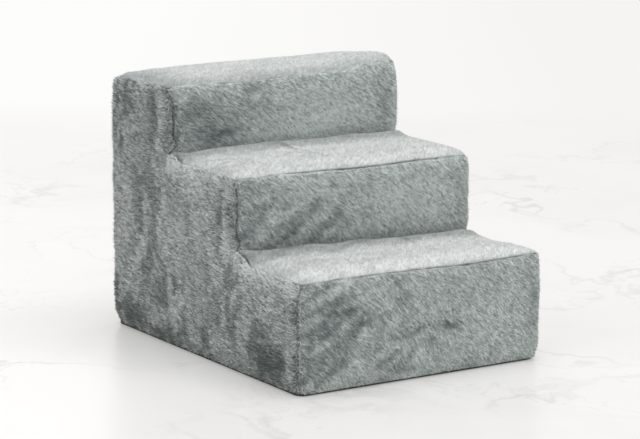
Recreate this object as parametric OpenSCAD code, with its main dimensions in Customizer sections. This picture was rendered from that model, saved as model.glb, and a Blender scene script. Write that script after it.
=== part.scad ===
// Three-step pet stairs: three glued foam slabs in a sewn plush cover.
// The cover opens at a zip that runs across its back, just above the floor.
// The stairs stand on the floor at z = 0 and are centred on x and y. The steps rise from -y to +y.

/* [Steps] */
// Width over the plush, where the side panels are fullest
stairs_w = 400; // [320:1:520]
// Height of the lower tread above the floor, at its seams
lower_rise = 154; // [130:1:200]
// Height of the middle tread above the lower one
middle_rise = 110; // [90:1:160]
// Height of the top above the middle tread
upper_rise = 100; // [90:1:160]
// Depth of the lower tread
lower_run = 162; // [130:1:240]
// Depth of the middle tread
middle_run = 174; // [130:1:240]
// Depth of the top
upper_run = 148; // [130:1:240]

/* [Cover] */
// Thickness of the plush with its standing pile, at the outer seams
cover_t = 9; // [7.5:0.1:12]
// How far the middle of each panel swells past its seams
crown = 3; // [1:0.1:5]
// Distance from a seam over which a panel swells to its full crown
crown_reach = 70; // [40:1:75]
// Thickness of the plush in the crease where a tread meets the riser behind it
crease_t = 6; // [4:0.1:7]
// Distance over which the plush thins towards a crease
crease_run = 26; // [18:1:34]
// Height of the soft ridge that lies along the back of each tread
ridge_h = 1.6; // [0.5:0.1:3]
// Distance from the crease to the far side of that ridge
ridge_reach = 46; // [36:1:60]
// Thickness of the plush where it turns under at the floor
hem_t = 4; // [3:0.1:4.2]
// Distance over which the plush thins towards the floor
hem_run = 18; // [12:1:30]
// Thickness of the dark non-slip fabric under the stairs
base_t = 3; // [3:0.1:6]
// Clearance between two sewn edges, and between the cover and the foam
fit_gap = 0.1; // [0.05:0.01:0.3]

/* [Zip] */
// Height of the zip's centre line above the floor
zip_z = 52; // [40:1:80]
// Width of the closed teeth
chain_w = 6; // [5:0.1:8]
// Thickness of the teeth
chain_t = 2.4; // [2:0.1:2.8]
// Distance from one tooth to the next
tooth_pitch = 2.6; // [2.4:0.1:4]
// Width of one tooth along the zip
tooth_w = 1.5; // [1:0.1:1.8]
// Width of the cord that carries the teeth of one side
tooth_cord_w = 1; // [0.8:0.1:1.2]
// Slot between the two rows of teeth
tooth_slot = 1; // [0.9:0.05:1.4]
// Thickness of the tapes
tape_t = 0.6; // [0.4:0.05:0.8]
// Width of each tape from the teeth to its outer edge
tape_w = 13; // [10:0.5:16]
// Height of the tapes' middle plane over the foam
tape_stand = 3; // [2.9:0.05:3.3]
// Distance from the zip's centre line to the fabric edges beside it
zip_lip = 6.5; // [6:0.1:8]
// Thickness of the plush at those edges
lip_t = 6.6; // [5.5:0.1:7]
// Distance over which the plush thins towards those edges
lip_run = 12; // [8:1:20]
// Length of a stop at the end of the teeth
stop_l = 3; // [2:0.1:4]

/* [Slider] */
// Length of the slider
slider_l = 15; // [13:0.1:18]
// Thickness of each of its two plates
plate_t = 1; // [0.8:0.05:1.1]
// Thickness of the edges that wrap the teeth
flange_t = 1.2; // [1:0.05:1.4]
// Running clearance round the teeth and the tapes
slider_gap = 0.25; // [0.2:0.01:0.3]
// Thickness of the blade between the plates
blade_t = 0.5; // [0.4:0.05:0.6]
// Length of that blade
blade_l = 4; // [3:0.1:5]
// Length of the bridge that holds the pull
bridge_l = 10; // [9:0.1:11]
// Width of the bridge
bridge_w = 1.8; // [1.4:0.1:2.2]
// Thickness of the bridge
bridge_t = 1.1; // [0.9:0.05:1.2]

/* [Pull] */
// Length of the pull from its pivot to its tip
pull_l = 24; // [20:0.5:28]
// Width of the pull
pull_w = 7; // [6:0.1:8]
// Thickness of the pull
pull_t = 1.2; // [1:0.05:1.3]
// Width of the opening in the pull that the bridge passes through
eye_w = 3.4; // [3.2:0.1:3.8]
// Length of that opening, measured from the pivot
eye_l = 6.4; // [6.2:0.1:7]
// Radius of the bar that turns under the bridge
pivot_r = 0.6; // [0.5:0.05:0.65]
// Radius of the hole at the pull's tip
tip_hole_r = 1.1; // [0.8:0.1:1.3]
// Room between the cover's side and the pull's tip when it is turned over the end of the zip
pull_room = 6.5; // [5:0.5:60]

/* [Hidden] */
$fn = 48;
X = [1, 0, 0];
Y = [0, 1, 0];
Z = [0, 0, 1];

// One overrun for every cut
overrun = 1;
// Steps in which a panel's skin turns to the seam, half way round a corner
roll_steps = 3;
seam_turn = 45;

// Planes of the cover's lining, which the foam fills
half_w = stairs_w / 2 - cover_t - crown;
seam_d = lower_run + middle_run + upper_run;
front_y = -seam_d / 2 + cover_t;
middle_y = front_y + lower_run;
upper_y = middle_y + middle_run;
back_y = seam_d / 2 - cover_t;
floor_z = base_t;
lower_z = lower_rise - cover_t;
middle_z = lower_z + middle_rise;
upper_z = middle_z + upper_rise;

// Places of a panel's grid lines, as shares of its length
cross_shares = [0, 0.03, 0.1, 0.2, 0.35, 0.5, 0.65, 0.8, 0.9, 0.97, 1];
riser_shares = [0, 0.1, 0.18, 0.3, 0.5, 0.7, 0.84, 0.94, 1];
tread_shares = [0, 0.05, 0.16, 0.34, 0.54, 0.7, 0.77, 0.83, 0.88, 0.93, 1];
strip_shares = [0, 0.25, 0.5, 0.75, 1];
side_tread_shares = [0.02, 0.12, 0.35, 0.6, 0.78, 0.91];
side_riser_shares = [0.12, 0.28, 0.5, 0.78, 0.97];
side_row_shares = [0, 0.06, 0.15, 0.28, 0.45, 0.62, 0.78, 0.9, 1];
// Reach at the floor of a side panel's grid lines, which fan out behind a riser and before it
fan_w = lower_run / 2;
fore_w = lower_run / 7;

// Zip planes and reaches
zip_y = back_y + tape_stand;
chain_half = chain_w / 2;
tape_l = 2 * (half_w - fit_gap);
chain_l = 2 * (half_w - pull_l + slider_l / 2 - pull_room);
plate_y = chain_t / 2 + slider_gap;
flange_z = chain_half + slider_gap;
slider_half = flange_z + flange_t;
pivot_y = zip_y + plate_y + plate_t + pull_t / 2 + 2 * slider_gap;
slider_x = -chain_l / 2 + slider_l / 2 + slider_gap;

function ease(share) = let (s = min(max(share, 0), 1)) s * s * (3 - 2 * s);
function pillow(depth) = 1 - pow(1 - min(max(depth, 0), crown_reach) / crown_reach, 2);
function dip(depth, end_t, run) = (cover_t - end_t) * (1 - ease(depth / run));
function ridge(depth) =
    let (s = (depth - crease_run / 2) / (ridge_reach - crease_run / 2))
    s > 0 && s < 1 ? ridge_h * pow(sin(180 * s), 2) : 0;
function mix(a, b, share) = a + (b - a) * share;
function segment_distance(p, a, b) =
    norm(p - mix(a, b, min(max((p - a) * (b - a) / ((b - a) * (b - a)), 0), 1)));

// A point of the skin at height t over its base, turned sideways by side and moved by shift
function skin(base, out, side, shift, t) = base + t * (out + side + shift) / norm(out + side);
function turn(step) = tan(seam_turn * step / roll_steps);
// Grid lines along one edge: the place of each line, and how far it turns to the seam
function stations(length, shares, low_round, high_round) = concat(
    low_round ? [for (k = [roll_steps : -1 : 1]) [0, -turn(k)]] : [],
    [for (s = shares) [s * length, 0]],
    high_round ? [for (k = [1 : roll_steps]) [length, turn(k)]] : []);

// Triangles of a closed panel: the skin's grid, its edges, and the flat inner face.
// The inner face has one point for each grid line that isn't turned, in order round its edge.
function panel_faces(cols, rows, low_u, high_u, low_v, high_v) =
    let (ci = cols - low_u - high_u, ri = rows - low_v - high_v,
         inner = cols * rows, ring = 2 * (ci + ri - 2),
         at = function (i, j) j * cols + i,
         col = function (i) min(max(i - low_u, 0), ci - 1),
         row = function (j) min(max(j - low_v, 0), ri - 1),
         low = function (i) inner + i,
         right = function (j) inner + ci - 1 + j,
         high = function (i) inner + 2 * (ci - 1) + ri - 1 - i,
         left = function (j) inner + (ring - j) % ring,
         loop = concat(
             [for (i = [0 : cols - 2]) [at(i, 0), low(col(i))]],
             [for (j = [0 : rows - 2]) [at(cols - 1, j), right(row(j))]],
             [for (i = [cols - 1 : -1 : 1]) [at(i, rows - 1), high(col(i))]],
             [for (j = [rows - 1 : -1 : 1]) [at(0, j), left(row(j))]]),
         n = len(loop))
    concat(
        [for (i = [0 : cols - 2], j = [0 : rows - 2], upper = [true, false])
            upper ? [at(i, j), at(i, j + 1), at(i + 1, j + 1)]
                  : [at(i, j), at(i + 1, j + 1), at(i + 1, j)]],
        [for (k = [0 : n - 1]) [loop[k][0], loop[(k + 1) % n][0], loop[(k + 1) % n][1]]],
        [for (k = [0 : n - 1]) if (loop[k][1] != loop[(k + 1) % n][1])
            [loop[k][0], loop[(k + 1) % n][1], loop[k][1]]],
        [for (i = [1 : ci - 3], upper = [true, false])
            upper ? [low(i), low(i + 1), high(i + 1)] : [low(i), high(i + 1), high(i)]],
        [for (j = [0 : ri - 2]) [low(1), left(j + 1), left(j)]],
        [[low(1), high(1), high(0)]],
        [for (j = [0 : ri - 2]) [low(ci - 2), right(j), right(j + 1)]],
        [[low(ci - 2), high(ci - 1), high(ci - 2)]]);

// A sewn rectangular panel. Its corner is at origin on the lining, and it spreads along u and v.
// Its u edges turn to the side seams. A v edge is "round" where it turns over a corner,
// "crease" where it meets the next panel in an inner corner, or "lip" where it ends square.
module sewn_panel(origin, u, v, u_l, v_l, v_shares, low_kind, low_t, low_run,
                  high_kind, high_t, high_run, has_ridge = false) {
    out = cross(u, v);
    across = u_l - 2 * fit_gap;
    along = v_l - 2 * fit_gap;
    start = origin + fit_gap * (u + v);
    us = stations(across, cross_shares, true, true);
    vs = stations(along, v_shares, low_kind == "round", high_kind == "round");
    cols = len(us);
    rows = len(vs);
    function thickness(p, q) =
        cover_t + crown * pillow(min(p, across - p)) * pillow(min(q, along - q))
        - dip(q, low_t, low_run) - dip(along - q, high_t, high_run)
        + (has_ridge ? ridge(along - q) * pillow(min(p, across - p)) : 0);
    function shift(q) =
        q == 0 && low_kind == "crease" ? v : q == along && high_kind == "crease" ? -v : 0 * v;
    points = concat(
        [for (b = vs, a = us)
            skin(start + a[0] * u + b[0] * v, out, a[1] * u + b[1] * v, shift(b[0]),
                 thickness(a[0], b[0]))],
        [for (s = cross_shares) start + s * across * u],
        [for (j = [1 : len(v_shares) - 1]) start + across * u + v_shares[j] * along * v],
        [for (i = [len(cross_shares) - 2 : -1 : 0]) start + cross_shares[i] * across * u + along * v],
        [for (j = [len(v_shares) - 2 : -1 : 1]) start + v_shares[j] * along * v]);
    polyhedron(points, panel_faces(cols, rows, roll_steps, roll_steps,
                                   low_kind == "round" ? roll_steps : 0,
                                   high_kind == "round" ? roll_steps : 0));
}

// Outline of a side panel on its lining, as [y, z] corners
side_front = front_y + fit_gap;
side_middle = middle_y + fit_gap;
side_upper = upper_y + fit_gap;
side_back = back_y - fit_gap;
side_floor = floor_z + fit_gap;
side_lower_top = lower_z - fit_gap;
side_middle_top = middle_z - fit_gap;
side_upper_top = upper_z - fit_gap;
SIDE_OUTLINE = [[side_front, side_floor], [side_front, side_lower_top],
                [side_middle, side_lower_top], [side_middle, side_middle_top],
                [side_upper, side_middle_top], [side_upper, side_upper_top],
                [side_back, side_upper_top], [side_back, side_floor]];
SIDE_CREASES = [SIDE_OUTLINE[2], SIDE_OUTLINE[4]];

function outline_depth(p) = min([for (k = [0 : len(SIDE_OUTLINE) - 1])
    segment_distance(p, SIDE_OUTLINE[k], SIDE_OUTLINE[(k + 1) % len(SIDE_OUTLINE)])]);
function crease_depth(p) = min([for (c = SIDE_CREASES) norm(p - c)]);
function side_thickness(p) =
    cover_t + crown * pillow(outline_depth(p))
    - dip(crease_depth(p), crease_t, crease_run) - dip(p[1] - side_floor, hem_t, hem_run);

// One grid line of a side panel: its top, its foot at the floor, and how its top turns to the seam
function side_leg(top_a, top_b, foot_a, foot_b, side, shares) =
    [for (s = shares) [mix(top_a, top_b, s), mix(foot_a, foot_b, s), side, 0 * side]];
SIDE_LINES = concat(
    [[SIDE_OUTLINE[1], side_front, Z, 0 * Z]],
    side_leg(SIDE_OUTLINE[1], SIDE_OUTLINE[2], side_front, side_middle - fore_w, Z, side_tread_shares),
    [[SIDE_OUTLINE[2], side_middle - fore_w, Z, -Y]],
    side_leg(SIDE_OUTLINE[2], SIDE_OUTLINE[3], side_middle, side_middle + fan_w, -Y, side_riser_shares),
    [[SIDE_OUTLINE[3], side_middle + fan_w, Z - Y, 0 * Z]],
    side_leg(SIDE_OUTLINE[3], SIDE_OUTLINE[4], side_middle + fan_w, side_upper - fore_w, Z, side_tread_shares),
    [[SIDE_OUTLINE[4], side_upper - fore_w, Z, -Y]],
    side_leg(SIDE_OUTLINE[4], SIDE_OUTLINE[5], side_upper, side_upper + fan_w, -Y, side_riser_shares),
    [[SIDE_OUTLINE[5], side_upper + fan_w, Z - Y, 0 * Z]],
    side_leg(SIDE_OUTLINE[5], SIDE_OUTLINE[6], side_upper + fan_w, side_back, Z, side_tread_shares),
    [[SIDE_OUTLINE[6], side_back, Z, 0 * Z]]);

function side_base(p) = [half_w, p[0], p[1]];
function side_point(line, share) = mix([line[1], side_floor], line[0], share);

// The side panel on the +x side, stepped like the stairs
module side_panel() {
    n = len(SIDE_LINES);
    us = concat([for (k = [roll_steps : -1 : 1]) [0, -turn(k)]],
                [for (i = [0 : n - 1]) [i, 0]],
                [for (k = [1 : roll_steps]) [n - 1, turn(k)]]);
    vs = stations(1, side_row_shares, true, true);
    m = len(side_row_shares);
    points = concat(
        [for (b = vs, a = us)
            let (line = SIDE_LINES[a[0]], p = side_point(line, b[0]),
                 side = b[1] > 0 ? b[1] * line[2] : b[1] * Z,
                 shift = b[1] > 0 ? b[1] * line[3] : 0 * Z)
            skin(side_base(p), X, a[1] * Y + side, shift, side_thickness(p))],
        [for (line = SIDE_LINES) side_base(side_point(line, 0))],
        [for (j = [1 : m - 1]) side_base(side_point(SIDE_LINES[n - 1], side_row_shares[j]))],
        [for (i = [n - 2 : -1 : 0]) side_base(side_point(SIDE_LINES[i], 1))],
        [for (j = [m - 2 : -1 : 1]) side_base(side_point(SIDE_LINES[0], side_row_shares[j]))]);
    translate([fit_gap, 0, 0])
        polyhedron(points, panel_faces(len(us), len(vs), roll_steps, roll_steps, roll_steps, roll_steps));
}

module right_side_panel() {
    color("slategray") side_panel();
}

module left_side_panel() {
    color("slategray") mirror(X) side_panel();
}

// A riser: its foot and head heights on the lining, and the plane that it stands on
module riser(y, foot, head, foot_kind, foot_t, foot_run) {
    sewn_panel([-half_w, y - fit_gap, foot], X, Z, 2 * half_w, head - foot, riser_shares,
               foot_kind, foot_t, foot_run, "round", cover_t, hem_run);
}

module lower_riser_panel() {
    color("lightslategray") riser(front_y, floor_z, lower_z, "round", hem_t, hem_run);
}

module middle_riser_panel() {
    color("lightslategray") riser(middle_y, lower_z, middle_z, "crease", crease_t, crease_run);
}

module upper_riser_panel() {
    color("lightslategray") riser(upper_y, middle_z, upper_z, "crease", crease_t, crease_run);
}

// A tread: its front and rear on the lining, and the height that it lies at
module tread(z, front, rear, rear_kind, rear_t, has_ridge) {
    sewn_panel([-half_w, front, z + fit_gap], X, Y, 2 * half_w, rear - front, tread_shares,
               "round", cover_t, hem_run, rear_kind, rear_t, crease_run, has_ridge);
}

module lower_tread_panel() {
    color("gainsboro") tread(lower_z, front_y, middle_y, "crease", crease_t, true);
}

module middle_tread_panel() {
    color("gainsboro") tread(middle_z, middle_y, upper_y, "crease", crease_t, true);
}

module top_panel() {
    color("gainsboro") tread(upper_z, upper_y, back_y, "round", cover_t, false);
}

// Room behind the back's two pieces for the zip's tapes
module tape_room() {
    tape_half = chain_half + tape_w + fit_gap;
    translate([-tape_l / 2 - fit_gap, back_y - overrun, zip_z - tape_half])
        cube([tape_l + 2 * fit_gap, overrun + tape_stand + tape_t / 2 + fit_gap, 2 * tape_half]);
}

module back_panel() {
    color("slategray") difference() {
        sewn_panel([half_w, back_y + fit_gap, zip_z + zip_lip], -X, Z, 2 * half_w,
                   upper_z - zip_z - zip_lip, riser_shares,
                   "lip", lip_t, lip_run, "round", cover_t, hem_run);
        tape_room();
    }
}

module back_lower_strip() {
    color("slategray") difference() {
        sewn_panel([half_w, back_y + fit_gap, floor_z], -X, Z, 2 * half_w,
                   zip_z - zip_lip - floor_z, strip_shares,
                   "round", hem_t, hem_run, "lip", lip_t, lip_run);
        tape_room();
    }
}

// The base spreads at its foot to meet the panels, which turn under it
module base_panel() {
    half_d = (back_y - front_y) / 2 - fit_gap;
    top = base_t - fit_gap;
    color("dimgray") intersection() {
        translate([0, half_d, 0]) rotate([90, 0, 0]) base_prism(half_w - fit_gap, top, 2 * half_d);
        translate([-half_w, 0, 0]) rotate([90, 0, 90]) base_prism(half_d, top, 2 * half_w);
    }
}

// A slab whose sides slope outwards to the floor
module base_prism(half, top, length) {
    translate([0, 0, -top]) linear_extrude(length + 2 * top)
        polygon([[-half - top, 0], [half + top, 0], [half, top], [-half, top]]);
}

// A foam slab between two planes on y and on z
module slab(front, low, high) {
    translate([-half_w + fit_gap, front + fit_gap, low])
        cube([2 * (half_w - fit_gap), back_y - front - 2 * fit_gap, high - low]);
}

module foam_lower_slab() {
    color("wheat") slab(front_y, floor_z, lower_z - fit_gap);
}

module foam_middle_slab() {
    color("wheat") slab(middle_y, lower_z - fit_gap, middle_z - fit_gap);
}

module foam_upper_slab() {
    color("wheat") slab(upper_y, middle_z - fit_gap, upper_z - fit_gap);
}

// The tape above the zip's centre line, which the lower one mirrors
module tape() {
    translate([-tape_l / 2, zip_y - tape_t / 2, chain_half]) cube([tape_l, tape_t, tape_w]);
}

module zip_upper_tape() {
    color("gray") translate([0, 0, zip_z]) tape();
}

module zip_lower_tape() {
    color("gray") translate([0, 0, zip_z]) mirror(Z) tape();
}

// One row of teeth on its cord, as a comb that ends clear of the slot. The first tooth is at start.
module comb(start) {
    reach = chain_half - tooth_cord_w;
    teeth = floor((chain_l - start - tooth_w) / tooth_pitch);
    translate([-chain_l / 2, zip_y + chain_t / 2, 0]) rotate([90, 0, 0]) linear_extrude(chain_t)
        polygon(concat(
            [[0, chain_half], [0, reach]],
            [for (k = [0 : teeth], corner = [0 : 3])
                [start + k * tooth_pitch + (corner > 1 ? tooth_w : 0),
                 corner == 1 || corner == 2 ? tooth_slot / 2 : reach]],
            [[chain_l, reach], [chain_l, chain_half]]));
}

module zip_upper_teeth() {
    color("dimgray") translate([0, 0, zip_z]) comb(tooth_w / 2);
}

module zip_lower_teeth() {
    color("dimgray") translate([0, 0, zip_z]) mirror(Z) comb(tooth_w / 2 + tooth_pitch / 2);
}

// A stop closes each end of the teeth, between the tapes
module zip_stops() {
    color("silver") for (side = [-1, 1])
        translate([side * (chain_l + stop_l) / 2, zip_y, zip_z])
            cube([stop_l, chain_t, chain_w], center = true);
}

// Outline of a slider's plate: square at the nose and round at the tail
module plate_outline(half, radius) {
    translate([-slider_l / 2, -half]) square([slider_l - radius, 2 * half]);
    translate([slider_l / 2 - radius, 0]) circle(radius);
    translate([-slider_l / 2, -radius]) square([slider_l - radius, 2 * radius]);
}

// The slider lies along x, with its plates over and under the teeth
module slider_body() {
    outer = plate_y + plate_t;
    tape_room_y = tape_t / 2 + slider_gap;
    difference() {
        translate([0, outer, 0]) rotate([90, 0, 0]) linear_extrude(2 * outer)
            plate_outline(slider_half, slider_half);
        translate([-slider_l / 2 - overrun, -plate_y, -flange_z])
            cube([slider_l + 2 * overrun, 2 * plate_y, 2 * flange_z]);
        translate([-slider_l / 2 - overrun, -tape_room_y, -slider_half - overrun])
            cube([slider_l + 2 * overrun, 2 * tape_room_y, 2 * (slider_half + overrun)]);
    }
    translate([-slider_l / 2, -plate_y, -blade_t / 2]) cube([blade_l, 2 * plate_y, blade_t]);
}

// The bridge arches over the pull's bar
module bridge() {
    foot = plate_y + plate_t;
    roof = pivot_y - zip_y + pivot_r + slider_gap;
    difference() {
        translate([-bridge_l / 2, foot, -bridge_w / 2]) cube([bridge_l, roof - foot + bridge_t, bridge_w]);
        translate([-bridge_l / 2 + bridge_t, foot - overrun, -bridge_w / 2 - overrun])
            cube([bridge_l - 2 * bridge_t, roof - foot + overrun, bridge_w + 2 * overrun]);
    }
}

module zip_slider() {
    color("silver") translate([slider_x, zip_y, zip_z]) {
        slider_body();
        bridge();
    }
}

// The pull lies along +x from its pivot. Its bar turns under the bridge, which fills its eye.
module zip_pull() {
    rail = (pull_w - eye_w) / 2;
    color("silver") translate([slider_x, pivot_y, zip_z]) {
        translate([0, 0, -pull_w / 2]) cylinder(h = pull_w, r = pivot_r);
        for (side = [-1, 1])
            translate([0, -pull_t / 2, side * (eye_w + rail) / 2 - rail / 2]) cube([eye_l, pull_t, rail]);
        translate([0, pull_t / 2, 0]) rotate([90, 0, 0]) linear_extrude(pull_t) difference() {
            union() {
                translate([eye_l, -pull_w / 2]) square([pull_l - pull_w / 2 - eye_l, pull_w]);
                translate([pull_l - pull_w / 2, 0]) circle(pull_w / 2);
            }
            translate([pull_l - pull_w / 2, 0]) circle(tip_hole_r);
        }
    }
}

foam_lower_slab();
foam_middle_slab();
foam_upper_slab();
left_side_panel();
right_side_panel();
lower_riser_panel();
middle_riser_panel();
upper_riser_panel();
lower_tread_panel();
middle_tread_panel();
top_panel();
back_panel();
back_lower_strip();
base_panel();
zip_upper_tape();
zip_lower_tape();
zip_upper_teeth();
zip_lower_teeth();
zip_stops();
zip_slider();
zip_pull();
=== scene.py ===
"""Looks of the three-step pet stairs: plush cover with its pile, foam, base, zip, floor and light.

Lengths are in millimetres unless a name says otherwise, and become metres when a mesh is made.
"""
import math

import bpy
import numpy as np
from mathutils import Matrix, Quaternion, Vector


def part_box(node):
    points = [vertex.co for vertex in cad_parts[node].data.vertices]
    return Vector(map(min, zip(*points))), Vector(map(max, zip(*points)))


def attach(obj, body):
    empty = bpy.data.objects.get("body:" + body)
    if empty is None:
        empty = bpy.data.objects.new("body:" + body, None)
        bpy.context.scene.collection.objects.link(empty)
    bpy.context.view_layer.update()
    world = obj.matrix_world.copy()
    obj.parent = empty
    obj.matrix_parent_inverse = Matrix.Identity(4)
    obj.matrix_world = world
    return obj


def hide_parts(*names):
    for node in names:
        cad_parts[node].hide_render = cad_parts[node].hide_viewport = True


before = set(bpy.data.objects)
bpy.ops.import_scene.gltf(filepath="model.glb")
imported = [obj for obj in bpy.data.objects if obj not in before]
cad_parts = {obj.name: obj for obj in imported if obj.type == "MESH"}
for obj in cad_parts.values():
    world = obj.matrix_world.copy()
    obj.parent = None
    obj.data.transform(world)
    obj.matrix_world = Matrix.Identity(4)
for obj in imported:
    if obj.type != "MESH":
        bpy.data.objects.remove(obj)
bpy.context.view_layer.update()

MM = 0.001
X, Y, Z = np.eye(3)

# Camera, in metres and degrees
CAMERA_PLACE = (-2.0186, -3.0016, 0.9124)
CAMERA_AIM = (-0.0038, 0.0007, 0.1725)
CAMERA_ROLL = 0.717
CAMERA_LENS = 150
CAMERA_SENSOR = 36


def add_object(name, data):
    added = bpy.data.objects.new(name, data)
    bpy.context.scene.collection.objects.link(added)
    return added


def make_camera():
    data = bpy.data.cameras.new("camera")
    data.lens = CAMERA_LENS
    data.sensor_width = CAMERA_SENSOR
    camera = add_object("camera", data)
    place, aim = Vector(CAMERA_PLACE), Vector(CAMERA_AIM)
    turn = (aim - place).to_track_quat("-Z", "Y") @ Quaternion((0, 0, 1), math.radians(CAMERA_ROLL))
    camera.location = place
    camera.rotation_euler = turn.to_euler()
    bpy.context.scene.camera = camera


make_camera()

# Sizes of the cover, as the part's source has them
FIT_GAP = 0.1
COVER_T = 9
CROWN = 3
CROWN_REACH = 70
CREASE_T = 6
CREASE_RUN = 26
RIDGE_H = 1.6
RIDGE_REACH = 46
HEM_T = 4
HEM_RUN = 18
ZIP_LIP = 6.5
LIP_T = 6.6
LIP_RUN = 12


def box_mm(node):
    low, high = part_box(node)
    return np.array(low) / MM, np.array(high) / MM


# Planes of the lining, read from the foam that fills it
low, high = box_mm("foam_lower_slab")
HALF_W = high[0] + FIT_GAP
FRONT, BACK = low[1] - FIT_GAP, high[1] + FIT_GAP
FLOOR, LOWER = low[2], high[2] + FIT_GAP
low, high = box_mm("foam_middle_slab")
MIDDLE_Y, MIDDLE = low[1] - FIT_GAP, high[2] + FIT_GAP
low, high = box_mm("foam_upper_slab")
UPPER_Y, UPPER = low[1] - FIT_GAP, high[2] + FIT_GAP
ZIP_Z = sum(box_mm("zip_stops"))[2] / 2
# Half the height that the slider and the pull need, with room for a tuft's width
ZIP_WAY = max(box_mm("zip_slider")[1][2], box_mm("zip_pull")[1][2]) - ZIP_Z + 0.8

# The cover's backing lies this far under the tips of the pile, and this far at the floor
PILE_H, FOOT_PILE_H = 2.6, 1.8
# How much less that is on the treads, in the inner corners and at the zip
TREAD_LESS, CREASE_LESS, ZIP_LESS = 1.1, 0.8, 1.0
# The backing's thickness, and how far it stays off the lining
BACKING_T, BACKING_LIFT = 1.8, 0.2
CELL = 3.6
WELD = 0.02
ROLL_STEPS = 6
SEAM_TURN = 45


def of_step(y, gap, lower, middle, upper):
    """The value for the step that y is on, which starts this gap in front of its riser's lining"""
    return np.select([y < MIDDLE_Y - gap, y < UPPER_Y - gap], [lower, middle], upper)


def ease(way, reach=1):
    """Rises smoothly from 0 at no way to 1 at this reach"""
    share = np.clip(way / reach, 0, 1)
    return share * share * (3 - 2 * share)


def bell(*ways):
    """1 where all these ways from the middle are 0, and nearly 0 where one is past 2"""
    return np.exp(-sum(way ** 2 for way in ways))


def pillow(depth):
    return 1 - (1 - np.clip(depth, 0, CROWN_REACH) / CROWN_REACH) ** 2


def dip(depth, end_t, run):
    return (COVER_T - end_t) * (1 - ease(depth, run))


def ridge(depth):
    share = np.clip((depth - CREASE_RUN / 2) / (RIDGE_REACH - CREASE_RUN / 2), 0, 1)
    return RIDGE_H * np.sin(np.pi * share) ** 2


def lattice(cell, seed):
    """A value from -1 to 1 for each whole-numbered cell"""
    h = (cell[..., 0] * 374761393 + cell[..., 1] * 668265263 + cell[..., 2] * 1440662683 + seed * 974711)
    h = h & 0xFFFFFFFF
    h = ((h ^ (h >> 13)) * 1274126177) & 0xFFFFFFFF
    return ((h ^ (h >> 16)) & 0xFFFF) / 32767.5 - 1


def noise(points, size, seed):
    """Smooth noise from -1 to 1, whose features are about as wide as size"""
    q = points / size
    cell = np.floor(q).astype(np.int64)
    f = ease(q - cell)
    total = 0
    for corner in np.ndindex(2, 2, 2):
        c = np.array(corner)
        weight = np.prod(np.where(c, f, 1 - f), axis=-1)
        total = total + weight * lattice(cell + c, seed)
    return total


def on_line(values):
    """Points for noise that changes with one value only"""
    return np.stack([values, 0 * values, 0 * values], axis=-1)


def unit(v):
    return v / np.maximum(np.linalg.norm(v, axis=-1, keepdims=True), 1e-9)


# Shape of the soft cover: how far the foam and the fabric stray from the plain form
SWELL, SWELL_SIZE = 1.3, 85
LUMP, LUMP_SIZE = 0.6, 34
PUCKER, PUCKER_SIZE, PUCKER_REACH = 1.0, 15, 11
GROOVE, GROOVE_W = 2.8, 2.1
TENT_LEFT, TENT_RIGHT, TENT_REACH, TENT_FADE = 10, 3, 19, 19
CREASE_LIFT_REACH = 24
WAVE, WAVE_SIZE = 1.6, 38
WRINKLE, WRINKLE_REACH = 2.2, 50
CALM = 22
SAG, SAG_REACH = 3.2, 120
SLIDE_REACH = 30
END_DROP, END_REACH = 3.5, 15
CORNER, CORNER_REACH = 6, 14
DENT, DENT_PLACE, DENT_WIDTH = 4.5, 27, 12
# The top bulges at its right end, where the lowest step is slack: height, place and reach in x and y
BULGES = [(14.5, (205, 125), (85, 75), UPPER), (-5, (200, -130), (80, 50), LOWER)]
# The lowest step is wider at its right end, most at the floor
FLARE, HEM_FLARE, FLARE_REACH = 2.5, 3, 90
# The rear left edge leans outwards
LEAN_OUT = -1.6 * X + 2.2 * Y

# Corners rounded another way: side and height, then how far and in what reach
SPECIAL_CORNERS = {(1, LOWER): (3, 14), (1, FLOOR): (2.4, 14), (1, UPPER): (10, 22)}

# How far the cover's foot is over the floor, and its wave
HEM_LOW, HEM_WAVE = 1.8, 0.8
# The seams at the treads' left ends lie this far on the tread
END_SEAM = -7
# Front, rear and height of each tread
TREADS = [(FRONT, MIDDLE_Y, LOWER), (MIDDLE_Y, UPPER_Y, MIDDLE), (UPPER_Y, BACK + 30, UPPER)]
# The inner corners, with how far each is lifted at places across the steps
CREASES = [(MIDDLE_Y, LOWER, (-197, -160, -110, -25, 60, 130, 197), (9, 9, 7.5, 5.4, 2.7, 1.9, 2)),
           (UPPER_Y, MIDDLE, (-197, -150, -110, -40, 75, 160, 197), (3, 2.7, 2.8, 6.0, 6.6, 7, 5))]
# Vertical seams on the left: the riser's place, foot and head, and how far the seam lies round the corner
LEFT_SEAMS = [(FRONT, FLOOR, LOWER, -5), (MIDDLE_Y, LOWER, MIDDLE, 9), (UPPER_Y, MIDDLE, UPPER, 12)]
# Seams along the nosings: place, height, and the middle, width and amount of what has slid down the riser
NOSINGS = [(FRONT, LOWER, 80, 75, 5.0), (MIDDLE_Y, MIDDLE, 20, 85, 4.5), (UPPER_Y, UPPER, -60, 90, 2.5)]
# How deep the nosings' seams show, at places across the steps
NOSING_SEAMS = [((-197, -60, 120, 197), (0.5, 0.5, 0.65, 0.4)), ((-197, -60, 20, 197), (0.35, 0.6, 0.8, 0.5)),
                ((-197, 197), (0.12, 0.12))]


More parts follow.
